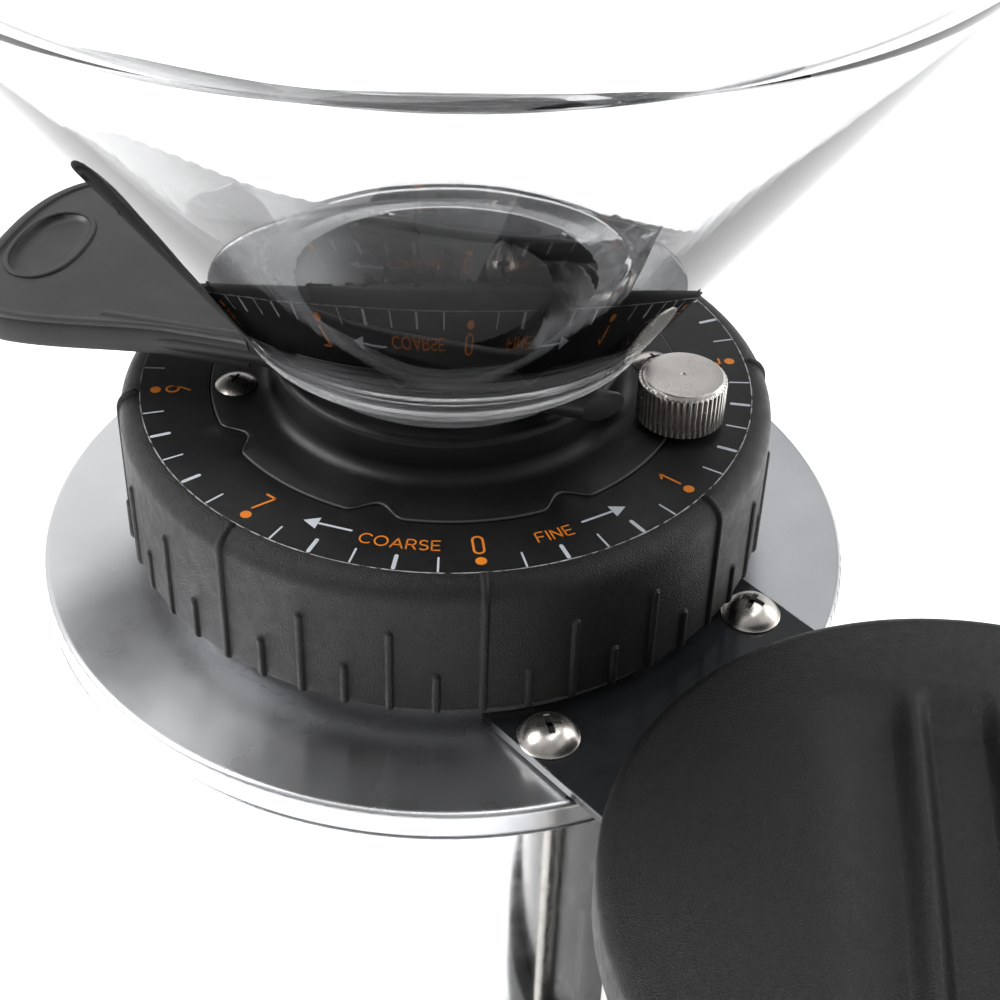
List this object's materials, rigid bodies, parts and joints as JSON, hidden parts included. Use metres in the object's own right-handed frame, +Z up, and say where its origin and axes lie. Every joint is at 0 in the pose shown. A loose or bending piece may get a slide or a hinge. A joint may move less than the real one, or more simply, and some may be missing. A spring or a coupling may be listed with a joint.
{
  "type": "burr coffee grinder",
  "caption": "Doser coffee grinder with flat burrs under a graduated adjusting collar, a clear hopper with a sliding shutter, and a lever-driven dosing chamber.",
  "frame": {"origin": "on the surface that the feet stand on, under the middle of the machine's bounding box", "axes": "+Z up; -Y to the front, where the doser and its lever are; +X to the operator's right"},
  "size_m": [0.1984, 0.2992, 0.4611],
  "materials": {
    "foot_rubber": "matte",
    "black_casting": "fine textured",
    "zinc_sheet": "satin",
    "zinc_steel": "satin",
    "polished_aluminium": "polished",
    "turned_aluminium": "finely turned",
    "cast_aluminium": "satin",
    "bearing_steel": "ground",
    "lamination_steel": "matte",
    "copper_wire": "enamelled",
    "capacitor_shell": "gloss",
    "terminal_plastic": "matte",
    "black_plastic": "matte",
    "gasket_rubber": "matte",
    "gloss_black": "gloss",
    "nickel_steel": "nickel, lightly worn",
    "stainless_sheet": "brushed",
    "smoked_clear": "clear moulded plastic",
    "spring_steel": "drawn",
    "burr_steel": "ground",
    "collar_coating": "fine grained matte",
    "label_print": "satin",
    "clear_plastic": "clear moulded plastic",
    "satin_black": "satin",
    "lid_black": "fine textured",
    "red_plastic": "gloss"
  },
  "bodies": {
    "frame": {"feet": "foot_rubber", "base_casting": "black_casting", "bottom_cover": "zinc_sheet", "bottom_screws": "zinc_steel", "housing_tube": "polished_aluminium", "top_flange": "turned_aluminium", "burr_chamber": "cast_aluminium", "tie_rods": "zinc_steel", "motor_bracket": "cast_aluminium", "bearings": "bearing_steel", "stator_core": "lamination_steel", "stator_windings": "copper_wire", "run_capacitor": "capacitor_shell", "terminal_block": "terminal_plastic", "cable_gland": "black_plastic", "switch_bezel": "black_plastic", "outlet_chute": "black_plastic", "bridge_gasket": "gasket_rubber", "bridge_plate": "gloss_black", "bridge_screws": "nickel_steel", "doser_base": "black_casting", "doser_floor": "stainless_sheet", "doser_chamber": "smoked_clear", "doser_posts": "nickel_steel", "dose_gate": "stainless_sheet", "outlet_spout": "black_plastic", "lever_spring": "spring_steel", "portafilter_fork": "cast_aluminium", "fork_screws": "nickel_steel", "preload_spring": "spring_steel"},
    "rotor": {"motor_shaft": "bearing_steel", "rotor_core": "lamination_steel", "cooling_fan": "black_plastic", "lower_burr_carrier": "cast_aluminium", "lower_burr": "burr_steel", "lower_burr_screws": "zinc_steel", "shaft_nut": "zinc_steel"},
    "washer": {"thrust_washer": "stainless_sheet"},
    "collar": {"collar_ring": "collar_coating", "label_ring": "label_print", "cover_plate": "collar_coating", "cover_screws": "nickel_steel", "upper_burr_carrier": "cast_aluminium", "upper_burr": "burr_steel", "upper_burr_screws": "zinc_steel"},
    "thumb_screw": {"thumb_screw": "nickel_steel"},
    "hopper": {"hopper": "clear_plastic", "gate_housing": "clear_plastic"},
    "hopper_lid": {"hopper_lid": "black_plastic"},
    "shutter": {"shutter_slide": "satin_black"},
    "wheel": {"dosing_wheel": "satin_black", "doser_shaft": "bearing_steel", "ratchet_wheel": "burr_steel", "dose_knob": "nickel_steel"},
    "lever": {"dosing_lever": "nickel_steel", "lever_grip": "satin_black", "ratchet_pawl": "burr_steel"},
    "doser_lid": {"doser_lid": "lid_black"},
    "tray": {"grounds_tray": "stainless_sheet"},
    "rocker": {"switch_rocker": "red_plastic"}
  },
  "joints": [
    {"name": "rotor_spin", "type": "hinge", "parent": "frame", "child": "rotor", "pos_m": [0, 0.0504, 0.15], "axis": [0, 0, 1], "continuous": true},
    {"name": "collar_lift", "type": "slide", "parent": "frame", "child": "washer", "axis": [0, 0, 1], "range_m": [-0.00019, 0.00132], "deforming": ["preload_spring"]},
    {"name": "collar_turn", "type": "hinge", "parent": "washer", "child": "collar", "pos_m": [0, 0.0504, 0.29], "axis": [0, 0, 1], "range_deg": [-45, 315]},
    {"name": "thumb_screw_turn", "type": "hinge", "parent": "collar", "child": "thumb_screw", "pos_m": [0.02495, 0.01271, 0.3], "axis": [0, 0, 1], "range_deg": [0, 360]},
    {"name": "hopper_lift", "type": "slide", "parent": "collar", "child": "hopper", "axis": [0, 0, 1], "range_m": [0, 0.12]},
    {"name": "hopper_lid_lift", "type": "slide", "parent": "hopper", "child": "hopper_lid", "axis": [0, 0, 1], "range_m": [0, 0.1]},
    {"name": "shutter_pull", "type": "slide", "parent": "hopper", "child": "shutter", "axis": [-0.5878, 0.809, 0], "range_m": [0, 0.042]},
    {"name": "lever_pull", "type": "hinge", "parent": "frame", "child": "lever", "pos_m": [0, -0.0866, 0.175], "axis": [0, 0, -1], "range_deg": [0, 60], "stiffness_Nm_per_rad": 0.2, "springref_deg": -11.46},
    {"name": "wheel_turn", "type": "hinge", "parent": "frame", "child": "wheel", "pos_m": [0, -0.0866, 0.2], "axis": [0, 0, -1], "range_deg": [0, 60]},
    {"name": "doser_lid_lift", "type": "slide", "parent": "frame", "child": "doser_lid", "axis": [0, 0, 1], "range_m": [0, 0.08]},
    {"name": "tray_lift", "type": "slide", "parent": "frame", "child": "tray", "axis": [0, 0, 1], "range_m": [0, 0.06]},
    {"name": "power_rocker", "type": "hinge", "parent": "frame", "child": "rocker", "pos_m": [0.083, -0.051, 0.02568], "axis": [0, 0, -1], "range_deg": [0, 18]}
  ],
  "couplings": [
    {"joint": "collar_lift", "follows": "collar_turn", "m_per_rad": 0.00023873},
    {"joint": "wheel_turn", "follows": "lever_pull", "ratio": 1}
  ]
}
